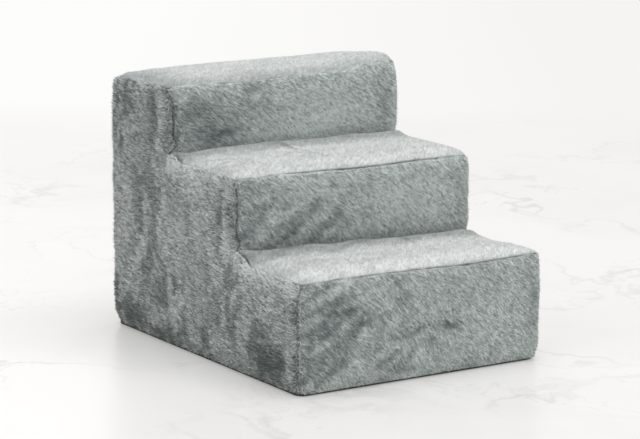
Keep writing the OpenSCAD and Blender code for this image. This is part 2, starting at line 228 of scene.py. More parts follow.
def slide(points, face_a, face_b, amount):
    """Slides the cover round a corner, which keeps its shape, from face a, up or to -X, to face b, to -Y

    Each face is (axis, place of the lining).
    """
    (axis_a, place_a), (axis_b, place_b) = face_a, face_b
    sign_a = 1 if axis_a == 2 else -1
    p = sign_a * (points[:, axis_a] - place_a)
    q = place_b - points[:, axis_b]
    quarter = np.pi * COVER_T / 4
    inside, outside = np.minimum(p, q), np.maximum(p, q)
    near = (inside > -3 * SLIDE_REACH) & (outside > 0) & (outside < 3 * COVER_T)
    radius = np.where(p <= 0, q, np.where(q <= 0, p, np.hypot(p, q)))
    s = np.where(q <= 0, q - quarter, np.where(p <= 0, quarter - p, (np.arctan2(q, p) - np.pi / 4) * COVER_T))
    s = s + amount * bell(s / SLIDE_REACH)
    angle = np.clip(np.pi / 4 + s / COVER_T, 0, np.pi / 2)
    new_p = radius * np.cos(angle) - np.maximum(s - quarter, 0)
    new_q = radius * np.sin(angle) - np.maximum(-s - quarter, 0)
    moved = points.copy()
    moved[:, axis_a] = np.where(near, place_a + sign_a * new_p, points[:, axis_a])
    moved[:, axis_b] = np.where(near, place_b - new_q, points[:, axis_b])
    return moved


def corners():
    """The outer corners of the cover, each with the way in, and how far and in what reach it is rounded"""
    for side in (-1, 1):
        rows = [(front - COVER_T, height + COVER_T, Y - Z, (side, height)) for front, _, height in TREADS]
        rows += [(BACK + COVER_T, UPPER + COVER_T, -Y - Z, None),
                 (FRONT - COVER_T, FLOOR, Y + 0.6 * Z, (side, FLOOR)),
                 (BACK + COVER_T, FLOOR, -Y + 0.6 * Z, None)]
        for y, z, way, special in rows:
            rounding = SPECIAL_CORNERS.get(special, (CORNER, CORNER_REACH))
            yield np.array((side * (HALF_W + COVER_T), y, z)), unit(way - side * X), *rounding


def soften(points, dirs, seam):
    """Moves the cover's points along their directions, as soft foam and slack fabric do"""
    x, y, z = points.T
    calm = ease(z - FLOOR, CALM)
    move = SWELL * noise(points, SWELL_SIZE, 1) + LUMP * noise(points, LUMP_SIZE, 2)
    move = move + PUCKER * noise(points, PUCKER_SIZE, 3) * bell(seam / PUCKER_REACH)
    moved = points + dirs * (move * calm)[:, None]
    side = np.abs(HALF_W + COVER_T - np.abs(x))
    for n, (corner_y, corner_z, places, lifts) in enumerate(CREASES):
        away = np.hypot(y - corner_y + CREASE_T, z - corner_z - CREASE_T)
        tent = np.where(x < 0, TENT_LEFT, TENT_RIGHT) * bell(side / TENT_FADE)
        moved += (tent * bell(away / TENT_REACH))[:, None] * unit(Z - Y)
        lift = np.interp(x, places, lifts) + WAVE * noise(on_line(x), WAVE_SIZE, 8 + n)
        moved[:, 2] += lift * bell(away / CREASE_LIFT_REACH)
        behind = corner_y - y
        on_tread = ease(behind - 8, 10) * ease(WRINKLE_REACH - behind, 20) * ease(side, 16)
        on_tread = on_tread * (np.abs(z - corner_z - COVER_T) < COVER_T)
        folds = noise(np.stack([x / 3.2, y + 0.35 * x, 0 * x], axis=-1), 13, 12 + n)
        moved[:, 2] += WRINKLE * folds * on_tread
    roof = of_step(y, 2 * COVER_T, LOWER, MIDDLE, UPPER)
    front_of = of_step(y, 2 * COVER_T, FRONT, MIDDLE_Y, UPPER_Y)
    back_of = of_step(y, 2 * COVER_T, MIDDLE_Y, UPPER_Y, BACK + 60)
    drop = END_DROP * bell((x + HALF_W + COVER_T) / END_REACH) * ease(z - roof + 30, 30)
    moved[:, 2] -= drop * ease(y - front_of + 5, 25) * ease(back_of - 2 * COVER_T - y, 25)
    flare = bell((x - HALF_W) / 40, (y - FRONT) / FLARE_REACH)
    moved[:, 0] += (FLARE + HEM_FLARE * (1 - ease(z, 28))) * flare
    out = bell((x + HALF_W) / 60, (y - BACK) / 80) * ease(z - 60, 260)
    moved += out[:, None] * LEAN_OUT
    rear_left = bell((x + HALF_W) / SAG_REACH, (y - BACK) / SAG_REACH)
    moved[:, 2] -= SAG * rear_left * ease(z - UPPER + 20, 20)
    on_left = ease(-x - HALF_W + 4, 6)
    for place, foot, head, amount in LEFT_SEAMS:
        valley = bell((y - place - DENT_PLACE) / DENT_WIDTH) * ease(z - foot, 40) * ease(head - z, 30)
        moved[:, 0] += DENT * valley * on_left
        fade = ease(z - foot - 1, 16) * ease(head - z, 16) * (1 + 0.25 * noise(on_line(z), 22, 17))
        moved = slide(moved, (0, -HALF_W), (1, place), amount * fade)
    for place, height, middle, width, amount in NOSINGS:
        moved = slide(moved, (2, height), (1, place), amount * bell((x - middle) / width) * ease(side, 25))
    for front, rear, height in TREADS:
        fade = ease(moved[:, 1] - front - 6, 14) * ease(rear - 16 - moved[:, 1], 20)
        moved = slide(moved, (2, height), (0, -HALF_W), END_SEAM * fade)
    for corner, inward, amount, reach in corners():
        near = np.exp(-((moved - corner) ** 2).sum(axis=1) / reach ** 2)
        moved += amount * near[:, None] * inward
    for height, at, reach, top in BULGES:
        bulge = bell((x - at[0]) / reach[0], (y - at[1]) / reach[1])
        moved[:, 2] += height * bulge * ease(z - top + 45, 45)
    moved[:, 2] = np.maximum(moved[:, 2], HEM_LOW + HEM_WAVE * ease(0.5 + noise(points, 16, 19)))
    return moved


TURNS = np.tan(np.radians(SEAM_TURN * np.arange(ROLL_STEPS + 1) / ROLL_STEPS))


def lines(*stops):
    """Grid lines through these stops, with cells of about CELL"""
    spans = zip(stops, stops[1:])
    parts = [np.linspace(a, b, int(round(abs(b - a) / CELL)) + 1)[:-1] for a, b in spans]
    return np.concatenate(parts + [[stops[-1]]])


def stations(length, low_round, high_round):
    """Places along one edge of a panel, and how far each is turned to the seam"""
    inner = lines(0, length)
    low, high = ROLL_STEPS * low_round, ROLL_STEPS * high_round
    place = [np.zeros(low), inner, np.full(high, length)]
    return np.concatenate(place), np.concatenate([-TURNS[:0:-1][:low], 0 * inner, TURNS[1:][:high]])


def grid_quads(rows, cols):
    at = np.arange(rows * cols).reshape(rows, cols)
    return np.stack([at[:-1, :-1], at[:-1, 1:], at[1:, 1:], at[1:, :-1]], axis=-1).reshape(-1, 4)


def facing(points, quads):
    """The way that each face with four corners looks, twice as long as its area"""
    p = points[quads]
    return np.cross(p[:, 2] - p[:, 0], p[:, 3] - p[:, 1])


def weld(parts):
    """Joins parts of the cover's backing, and gives its points, faces and distances from the nearest seam

    A part has its points on the lining, the turned direction out of each, how that is shifted, the thickness
    of the cover, the distance from a seam, and its faces.
    """
    rows, faces, count = [], [], 0
    for base, out, shift, thick, seam, quads in parts:
        base, out, shift = (a.reshape(-1, 3) for a in (base, out, shift))
        direction = (out + shift) / np.linalg.norm(out, axis=1, keepdims=True)
        rows.append((base, direction, thick.ravel(), seam.ravel()))
        faces.append(quads + count)
        count += len(base)
    base, direction, thick, seam = (np.concatenate(a) for a in zip(*rows))
    tips = base + direction * thick[:, None]
    groove = GROOVE * seam_weight(base) * bell(seam / GROOVE_W)
    height = np.maximum(thick - pile_depth(tips) - groove, BACKING_T + BACKING_LIFT)
    points = base + direction * height[:, None]
    key = np.round(points / WELD).astype(np.int64)
    _, first, inverse = np.unique(key, axis=0, return_index=True, return_inverse=True)
    quads = inverse.reshape(-1)[np.concatenate(faces)]
    quads = quads[[len(set(q)) > 2 for q in quads]]
    outward = unit(direction[first])
    points = soften(points[first], outward, seam[first])
    flip = (facing(points, quads) * outward[quads].mean(axis=1)).sum(axis=1) < 0
    quads[flip] = quads[flip][:, ::-1]
    return points, quads, seam[first]


def pile_depth(tips):
    """Height of the pile, which is less on the treads, at the floor, in the inner corners and at the zip"""
    y, z = tips[:, 1], tips[:, 2]
    depth = PILE_H - (PILE_H - FOOT_PILE_H) * (1 - ease(z - 1, 10))
    for front, rear, height in TREADS:
        on_tread = ease(y - front, 12) * ease(rear - y, 12) * ease(z - height - 4, 4)
        depth = depth - TREAD_LESS * on_tread * ease(HALF_W - np.abs(tips[:, 0]), 12)
    for corner_y, corner_z in ((MIDDLE_Y, LOWER), (UPPER_Y, MIDDLE)):
        away = np.hypot(y - corner_y, z - corner_z)
        depth = depth - CREASE_LESS * (1 - ease(away - 6, 14))
    lip = ease(np.abs(z - ZIP_Z) - ZIP_LIP, LIP_RUN)
    return depth - np.where(y > BACK, ZIP_LESS * (1 - lip), 0)


# How a panel ends: whether it rolls round to its seam, and its thickness there and how soon it gets thinner
EDGES = {"nosing": ("round", COVER_T, HEM_RUN), "hem": ("round", HEM_T, HEM_RUN),
         "crease": ("crease", CREASE_T, CREASE_RUN), "lip": ("lip", LIP_T, LIP_RUN)}


def panel(origin, u, v, u_l, v_l, low, high):
    """A sewn rectangular panel of the cover, on the same plan as in the part's source"""
    (low_kind, low_t, low_run), (high_kind, high_t, high_run) = EDGES[low], EDGES[high]
    out = np.cross(u, v)
    across, along = u_l - 2 * FIT_GAP, v_l - 2 * FIT_GAP
    start = np.asarray(origin) + FIT_GAP * (u + v)
    u_at, u_turn = stations(across, 1, 1)
    v_at, v_turn = stations(along, low_kind == "round", high_kind == "round")
    p, q = np.meshgrid(u_at, v_at)
    a, b = np.meshgrid(u_turn, v_turn)
    inside = np.minimum(p, across - p)
    thick = COVER_T + CROWN * pillow(inside) * pillow(np.minimum(q, along - q))
    thick = thick - dip(q, low_t, low_run) - dip(along - q, high_t, high_run)
    if high == "crease":
        thick = thick + ridge(along - q) * pillow(inside)
    base = start + p[..., None] * u + q[..., None] * v
    shift = 0 * base
    turned = out + a[..., None] * u + b[..., None] * v
    left = np.radians(SEAM_TURN) - np.arctan(np.abs(a))
    seam = left * thick + inside
    for kind, reach, inward in ((low_kind, q, v), (high_kind, along - q, -v)):
        if kind == "round":
            left = np.radians(SEAM_TURN) - np.arctan(np.abs(b))
            seam = np.minimum(seam, left * thick + reach)
        elif kind == "crease":
            seam = np.minimum(seam, reach)
            shift = shift + np.clip(1 - reach / (2 * thick), 0, 1)[..., None] * inward
    return weld([(base, turned, shift, thick, seam, grid_quads(*p.shape))])


def riser(y, foot, head, edge):
    return panel((-HALF_W, y - FIT_GAP, foot), X, Z, 2 * HALF_W, head - foot, edge, "nosing")


def tread(z, front, rear, edge):
    return panel((-HALF_W, front, z + FIT_GAP), X, Y, 2 * HALF_W, rear - front, "nosing", edge)


def back(foot, height, low, high):
    return panel((HALF_W, BACK + FIT_GAP, foot), -X, Z, 2 * HALF_W, height, low, high)


# Outline of a side panel on its lining, as (y, z) corners, and the way each edge faces
OUTLINE = np.array([(FRONT, FLOOR), (FRONT, LOWER), (MIDDLE_Y, LOWER), (MIDDLE_Y, MIDDLE),
                    (UPPER_Y, MIDDLE), (UPPER_Y, UPPER), (BACK, UPPER), (BACK, FLOOR)])
EDGE_WAYS = (-Y, Z, -Y, Z, -Y, Z, Y, -Z)
INNER = (2, 4)


def segment_distance(p, a, b):
    share = np.clip(((p - a) @ (b - a)) / ((b - a) @ (b - a)), 0, 1)
    return np.linalg.norm(p - a - share[..., None] * (b - a), axis=-1)


def side_thickness(p):
    edges = zip(OUTLINE, np.roll(OUTLINE, -1, axis=0))
    depth = np.min([segment_distance(p, a, b) for a, b in edges], axis=0)
    crease = np.min([np.linalg.norm(p - OUTLINE[k], axis=-1) for k in INNER], axis=0)
    thick = COVER_T + CROWN * pillow(depth) - dip(crease, CREASE_T, CREASE_RUN)
    return thick - dip(p[..., 1] - FLOOR, HEM_T, HEM_RUN), depth


def side_panel(side):
    """The stepped side panel. side is 1 at +X and -1 at -X."""
    parts = []

    def add(p, way_a, turn_a, way_b, turn_b, shift, quads):
        thick, depth = side_thickness(p)
        out = side * X + turn_a[..., None] * way_a + turn_b[..., None] * way_b
        base = np.concatenate([0 * p[..., :1] + side * (HALF_W + FIT_GAP), p], axis=-1)
        left = np.radians(SEAM_TURN) - np.arctan(np.maximum(turn_a, turn_b))
        parts.append((base, out, 0 * base + shift, thick, left * thick + depth, quads))

    ys, zs = lines(FRONT, MIDDLE_Y, UPPER_Y, BACK), lines(FLOOR, LOWER, MIDDLE, UPPER)
    p = np.stack(np.meshgrid(ys, zs), axis=-1)
    quads = grid_quads(*p.shape[:2])
    centre = p.reshape(-1, 2)[quads].mean(axis=1)
    roof = of_step(centre[:, 0], 0, LOWER, MIDDLE, UPPER)
    none = np.zeros(p.shape[:2])
    add(p, Y, none, Z, none, 0, quads[centre[:, 1] < roof])

    for k, way in enumerate(EDGE_WAYS):
        after = (k + 1) % len(OUTLINE)
        axis = 0 if abs(way[2]) else 1
        stops = lines(OUTLINE[k][axis], OUTLINE[after][axis])
        edge = np.repeat(OUTLINE[[k]], len(stops), axis=0)
        edge[:, axis] = stops
        turn = np.repeat(TURNS[:, None], len(stops), axis=1)
        shift = 0
        for end, other in ((k, k - 1), (after, after)):
            if end in INNER:
                reach = np.linalg.norm(edge - OUTLINE[end], axis=1)
                share = np.clip(1 - reach / (2 * side_thickness(edge)[0]), 0, 1)
                shift = shift + (turn * share)[..., None] * EDGE_WAYS[other]
        base = np.repeat(edge[None], len(TURNS), axis=0)
        add(base, way, turn, way, 0 * turn, shift, grid_quads(*turn.shape))
        if k not in INNER:
            turn_a, turn_b = np.meshgrid(TURNS, TURNS)
            corner = np.broadcast_to(OUTLINE[k], turn_a.shape + (2,))
            add(corner, EDGE_WAYS[k - 1], turn_a, way, turn_b, 0, grid_quads(*turn_a.shape))
    return weld(parts)


# Looks of the fabric, as linear colours. The plush is one fabric: its side, riser and tread colours are
# painted shade and painted light, darkest on the sides and lightest on the treads
SHADED_SIDE_PLUSH = (0.408, 0.437, 0.43)
HALF_SHADED_RISER_PLUSH = (0.56, 0.605, 0.593)
LIT_TREAD_PLUSH = (0.665, 0.687, 0.68)
# Tint of the pile's painted shade, bluer where the tone is low
SHADE_TINT = (0.88, 0.965, 0.965)
FOAM_COLOR = (0.86, 0.83, 0.72)
BASE_COLOR = (0.035, 0.037, 0.036)
RUBBER_COLOR = (0.022, 0.022, 0.024)
TAPE_COLOR = (0.2, 0.215, 0.21)
TEETH_COLOR = (0.16, 0.17, 0.17)
METAL_COLOR = (0.60, 0.61, 0.62)


class Nodes:
    """Short ways to build the node tree of a new material, from its name, or of a world"""

    def __init__(self, owner):
        self.owner = bpy.data.materials.new(owner) if isinstance(owner, str) else owner
        self.owner.use_nodes = True
        self.tree = self.owner.node_tree
        self.shader = self.tree.nodes.get("Principled BSDF")

    def make(self, kind, *values, **named):
        """A new node's outputs. Named values go to inputs or settings, and the others to the first inputs."""
        node = self.tree.nodes.new("ShaderNode" + kind)
        for key, value in named.items():
            if key in node.inputs:
                self.set(node.inputs[key], value)
            else:
                setattr(node, key, value)
        for socket, value in zip(node.inputs, values):
            self.set(socket, value)
        return node.outputs

    def set(self, socket, value):
        if isinstance(value, bpy.types.NodeSocket):
            self.tree.links.new(value, socket)
        else:
            socket.default_value = (*value, 1) if socket.type == "RGBA" else value

    def place(self):
        return self.make("TexCoord")["Object"]

    def noise(self, scale, detail=3, vector=None, roughness=0.5):
        return self.make("TexNoise", Scale=scale, Detail=detail, Roughness=roughness,
                         Vector=vector or self.place())["Fac"]

    def wave(self, scale, direction="X"):
        return self.make("TexWave", Scale=scale, Vector=self.place(), bands_direction=direction)["Fac"]

    def ramp(self, value, low, high, from_low=0.0, from_high=1.0):
        return self.make("MapRange", value, from_low, from_high, low, high)["Result"]

    def math(self, operation, a, b=0.0):
        return self.make("Math", a, b, operation=operation)[0]

    def shade(self, color, factor):
        """color multiplied by a grey factor"""
        return self.make("VectorMath", color, operation="SCALE", Scale=factor)[0]

    def dot(self, vector, way):
        return self.make("VectorMath", vector, way, operation="DOT_PRODUCT")["Value"]

    def mix(self, factor, a, b):
        node = self.tree.nodes.new("ShaderNodeMix")
        node.data_type = "RGBA"
        for number, value in ((0, factor), (6, a), (7, b)):
            self.set(node.inputs[number], value)
        return node.outputs[2]

    def mix_shaders(self, factor, a, b):
        return self.make("MixShader", factor, a, b)[0]

    def tone(self):
        return self.make("Attribute", attribute_name="tone")["Fac"]

    def bump(self, height, strength, distance):
        bump = self.make("Bump", Height=height, Strength=strength, Distance=distance)
        self.set(self.shader.inputs["Normal"], bump["Normal"])

    def textured(self, texture, bump, color, shades, roughness, **inputs):
        """Finishes a material whose colour and surface follow one fine texture"""
        self.bump(texture, *bump)
        return self.finish(self.shade(color, self.ramp(texture, *shades)), roughness, **inputs)

    def finish(self, color, roughness, **inputs):
        for key, value in {"Base_Color": color, "Roughness": roughness, **inputs}.items():
            self.set(self.shader.inputs[key.replace("_", " ")], value)
        return self.owner


def pile_material(name, color, grain):
    n = Nodes(name)
    fine = n.ramp(n.noise(420, 2), 1 - grain, 1 + grain)
    broad = n.ramp(n.noise(16, 3), 0.94, 1.06)
    tone = n.tone()
    deep = tuple(c * d for c, d in zip(color, SHADE_TINT))
    # Low tones, mostly painted shade, take the bluer shade tint
    tint = n.mix(n.ramp(tone, 0.0, 1.0, 0.35, 0.95), deep, color)
    tinted = n.shade(tint, n.math("MULTIPLY", n.math("MULTIPLY", fine, broad), tone))
    return n.finish(tinted, 0.85, Sheen_Weight=0.25, Sheen_Roughness=0.45, Specular_IOR_Level=0.2)


def backing_material(name, color, low, high):
    n = Nodes(name)
    knit = n.noise(900, 2)
    n.bump(knit, 0.3, 0.0004)
    tone = n.tone()
    shaded = n.shade(color, n.math("MULTIPLY", tone, n.ramp(knit, low, high)))
    return n.finish(shaded, 0.85, Sheen_Weight=0.25, Sheen_Roughness=0.45)


def new_mesh(name, points, faces, smooth=True):
    """points in millimetres; faces as an array of equal rows, or a list"""
    faces = faces.tolist() if isinstance(faces, np.ndarray) else faces
    mesh = bpy.data.meshes.new(name)
    mesh.from_pydata((np.asarray(points) * MM).tolist(), [], faces)
    mesh.polygons.foreach_set("use_smooth", np.full(len(mesh.polygons), smooth))
    mesh.update()
    return add_object(name, mesh)


def bevel(piece, name, radius, segments=2):
    rounding = piece.modifiers.new(name, "BEVEL")
    rounding.width = radius * MM
    rounding.segments = segments
    rounding.limit_method = "ANGLE"


def add_tone(mesh, values):
    """Gives each point the tone that the material's colour is multiplied by"""
    attribute = mesh.attributes.new("tone", "FLOAT", "POINT")
    attribute.data.foreach_set("value", values.ravel().astype(np.float32))


def thicken(piece, thickness, offset):
    thick = piece.modifiers.new("thickness", "SOLIDIFY")
    thick.thickness = thickness * MM
    thick.offset = offset


def dress(piece, material):
    piece.data.materials.append(material)
    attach(piece, "stairs")


# Each kind of pile. A tuft is a spike or a blade, with its length and width, how many there are on a square
# millimetre, its lean from the normal with the spread of that and the lift by the locks, the nap's swirl, the
# spread of tone, the share of the cover's shading, depths of patches and streaks, and tones from root to tip,
# which are darker at the root as painted shade deep in the pile
# On the sides the backing's tone runs lower, painted shade in the gaps between the tufts
SIDE_PILE = dict(color=SHADED_SIDE_PLUSH, own_grain=0.12, backing=(0.7, 0.95), spikes=False, length=6.0, width=1.0,
                 density=0.66, lean=66, spread=5, lift=4, swirl=0.22, grain=0.38, blend=0.55, mottle=0.42,
                 streak=0.4, tones=(0.66, 0.96, 1.12))
RISER_PILE = dict(SIDE_PILE, color=HALF_SHADED_RISER_PLUSH, grain=0.26, mottle=0.38, streak=0.32,
                  tones=(0.68, 0.96, 1.12))
TREAD_PILE = dict(color=LIT_TREAD_PLUSH, own_grain=0.04, backing=(0.94, 1.0), spikes=True, length=3.4, width=1.1,
                  density=1.0, lean=30, spread=8, lift=3, swirl=0.25, grain=0.13, blend=0.8, mottle=0.13,
                  streak=0.24, tones=(0.82, 0.98, 1.04))
PILES = {"side": SIDE_PILE, "riser": RISER_PILE, "tread": TREAD_PILE}
TWIST = 25
# Least and greatest lean, in degrees
LEANS = (8, 78)
# Shares of a tuft's length below and above its bend, each with how much of the lean it takes
BEND = ((0.42, 0.8), (0.58, 1.15))
ROOT_DEPTH = 0.4
# The pile this near to the zip's middle keeps clear of the slider
ZIP_REACH = 20
# Spreads the tufts of one face of the backing
GOLDEN = 0.618034
# Darkest and lightest tone of the backing and the blades, and the lightest on the side panels' blades
TONE_LOW, TONE_HIGH, SIDE_TONE_HIGH = 0.25, 1.5, 1.9
# Axes of the marks on each kind of panel
RISER_PLANE, SIDE_PLANE, TREAD_PLANE = [0, 2], [1, 2], [0, 1]
MARK_DEPTH = 1.5
# Dark seam lines, partly the seam itself and partly painted shade in its groove: depth and width
SEAM_SHADE, SEAM_WIDE = 0.7, 1.8
# Painted highlight just out of the inner corners, and a thin line of painted shade in them
CREASE_LIGHT, CREASE_SHADE = 0.15, 0.65
# Painted highlight on the side panels' pile where it turns onto the treads, and just below them
RIM_LIGHT, UNDER_LIGHT = 0.5, 0.5
# Painted shade on the treads' pile towards their ends
END_SHADE = 0.12
# Painted shade in the dents beside the left seams, and painted highlight on their crests
VALLEY_SHADE, CREST_LIGHT = 0.28, 0.2
PIECE_TUFTS = 66000


def vertex_normals(points, quads):
    normals = np.zeros_like(points)
    for corner in quads.T:
        np.add.at(normals, corner, facing(points, quads))
    return unit(normals)


def brushing_and_painted_shade(place, marks):
    """Tone of the pile at (across, up) places: each mark is a soft stroke, darker or lighter, partly pile
    lying another way from brushing and partly painted shade and highlight
    """
    tone = np.ones(len(place))
    at = np.column_stack([place, np.zeros(len(place))])
    ragged = np.stack([3.5 * noise(at, 20, 47 + k) + 3.5 * noise(at, 7, 49 + k) for k in range(2)], axis=1)
    place = place + ragged
    for across, up, half_l, half_w, angle, percent in marks:
        depth = MARK_DEPTH * (percent / 100)
        turn = math.radians(angle)
        d = place - np.array((across, up))
        along = d[:, 0] * math.cos(turn) + d[:, 1] * math.sin(turn)
        across = d[:, 1] * math.cos(turn) - d[:, 0] * math.sin(turn)
        tone -= depth * np.exp(-((along / half_l) ** 2 + (across / half_w) ** 2) ** 1.5)
    return tone


def patches(p, plane):
    """Tone of the mottled patches, from -1 to 0.4: blots and strokes of pile that lies another way from
    brushing, painted as the sheen and shade that such pile shows
    """
    if plane == SIDE_PLANE:
        way, drawn, size, fine = Z, 0.6, 13, 0.6 * noise(p, 7, 52)
        where = ease(0.55 + 0.8 * noise(p, 70, 53))
    else:
        way, drawn, size, fine = unit(0.9 * X + 0.45 * Z), 0.62, 11, 0.4 * noise(p, 6, 52)
        where = ease(0.55 + 0.7 * noise(p, 50, 53) - 0.9 * ease(p[:, 0] + 50, 90))
    firm = ease(0.5 + 0.8 * (noise(p - drawn * (p @ way)[:, None] * way, size, 51) + fine))
    return 0.4 * (1 - firm) * (0.3 + 0.7 * where) - where * firm


def painted_rim_light_and_dent_shade(p):
    """Tone of a side panel's pile: painted highlight along the treads, where it turns up, and just below
    them, and painted shade in the dents beside the left seams, with painted highlight on their crests
    """
    x, y, z = p.T
    valley = 0
    for place, foot, head, _ in LEFT_SEAMS[1:]:
        up = ease(z - foot + 10, 30) * ease(head + 4 - z, 30)
        shade = bell((y - place - DENT_PLACE + 2) / 8) * (0.8 + 0.5 * noise(p, 18, 45))
        crest = bell((y - place - 9) / 8)
        valley = valley + up * (VALLEY_SHADE * shade - CREST_LIGHT * crest) * ease(-x - HALF_W + 3, 3)
    roof = of_step(y, COVER_T, LOWER, MIDDLE, UPPER)
    rim = np.where(roof == UPPER, 0.45, 1) * RIM_LIGHT * (0.85 + 0.35 * noise(p, 9, 46))
    rim = rim * ease(z - roof + 16, 14)
    under = np.select([roof == LOWER, roof == MIDDLE], [np.exp((z - roof) / 13), np.exp((z - roof) / 34)], 0)
    under = UNDER_LIGHT * np.minimum(under, 1) * (0.9 + 0.3 * noise(p, 20, 47))
    return 1 - valley + (rim + under) * ease(np.abs(x) - HALF_W + 12, 12)


def strands(p, nap):
    """Fine locks of the pile, from -1 to 1, drawn out along the nap"""
    bent = p + 2.2 * np.stack([noise(p, 24, 61 + k) for k in range(3)], axis=1)
    drawn = bent - 0.7 * (bent @ nap)[:, None] * nap
    return 0.7 * noise(drawn, 1.7, 64) + 0.6 * noise(drawn, 3.0, 65)


def seam_weight(p):
    """How deep a seam shows: a little more at the treads' ends, and less along the nosings"""
    x, y, z = p.T
    roof = of_step(y, COVER_T, LOWER, MIDDLE, UPPER)
    front = of_step(y, COVER_T, FRONT, MIDDLE_Y, UPPER_Y)
    on_end = ease(np.abs(x) - HALF_W + 6, 6) * ease(z - roof + 12, 8) * ease(y - front - 2, 10)
    weight = 1 + 0.1 * on_end
    for (place, height, *_), (places, shown) in zip(NOSINGS, NOSING_SEAMS):
        close = np.exp(-(np.hypot(y - place, z - height) / 28) ** 4) * ease(HALF_W - np.abs(x), 6)
        weight = weight * (1 - close * (1 - np.interp(x, places, shown) - 0.3 * noise(on_line(x), 9, 43)))
    return weight


def ruffled(p, near):
    """Where the pile is caught in the sewing and stands in tangles: along the left side's vertical seams"""
    x, y, z = p.T
    left = ease(-x - HALF_W + 22, 12)
    below_roof = z < of_step(y, 40, LOWER, MIDDLE, UPPER)
    return left * bell(near / 11) * below_roof * (0.7 + 0.3 * noise(p, 15, 77))


def past_crease(p):
    """How far each point is out of the nearest inner corner of the cover"""
    return np.min([np.hypot(p[:, 1] - y, p[:, 2] - z) for y, z, *_ in CREASES], axis=0) - COVER_T


def broad_tone(p, near, look, marks, plane):
    """Tone of the cover: marks of brushing and painted shade, mottled patches of painted sheen, seam lines
    darkened partly by painted shade, painted shade and highlight at the inner corners, painted highlight on
    the side rims and painted shade at the treads' ends
    """
    past = past_crease(p)
    # Seam lines darkened partly by painted shade in their grooves
    dark = 1 - SEAM_SHADE * seam_weight(p) * bell(near / SEAM_WIDE) * (0.85 + 0.3 * noise(p, 12, 41))
    # Painted highlight out of the inner corners, and a thin line of painted shade along them
    light = 1 + CREASE_LIGHT * bell(past / 14) * (np.abs(p[:, 0]) < HALF_W)
    line = 1 - CREASE_SHADE * bell(near / 2.6) * bell(np.maximum(past, 0) / 4)
    if plane == SIDE_PLANE:
        # Painted highlight on the side rims and painted shade in their dents
        ends = painted_rim_light_and_dent_shade(p)
    elif plane == TREAD_PLANE:
        # Painted shade towards the treads' ends
        ends = 1 - END_SHADE * ease(np.abs(p[:, 0]) - HALF_W + 18, 22)
    else:
        ends = 1
    mottled = 1 + look["mottle"] * patches(p, plane)
    return brushing_and_painted_shade(p[:, plane], marks) * dark * light * line * mottled * ends


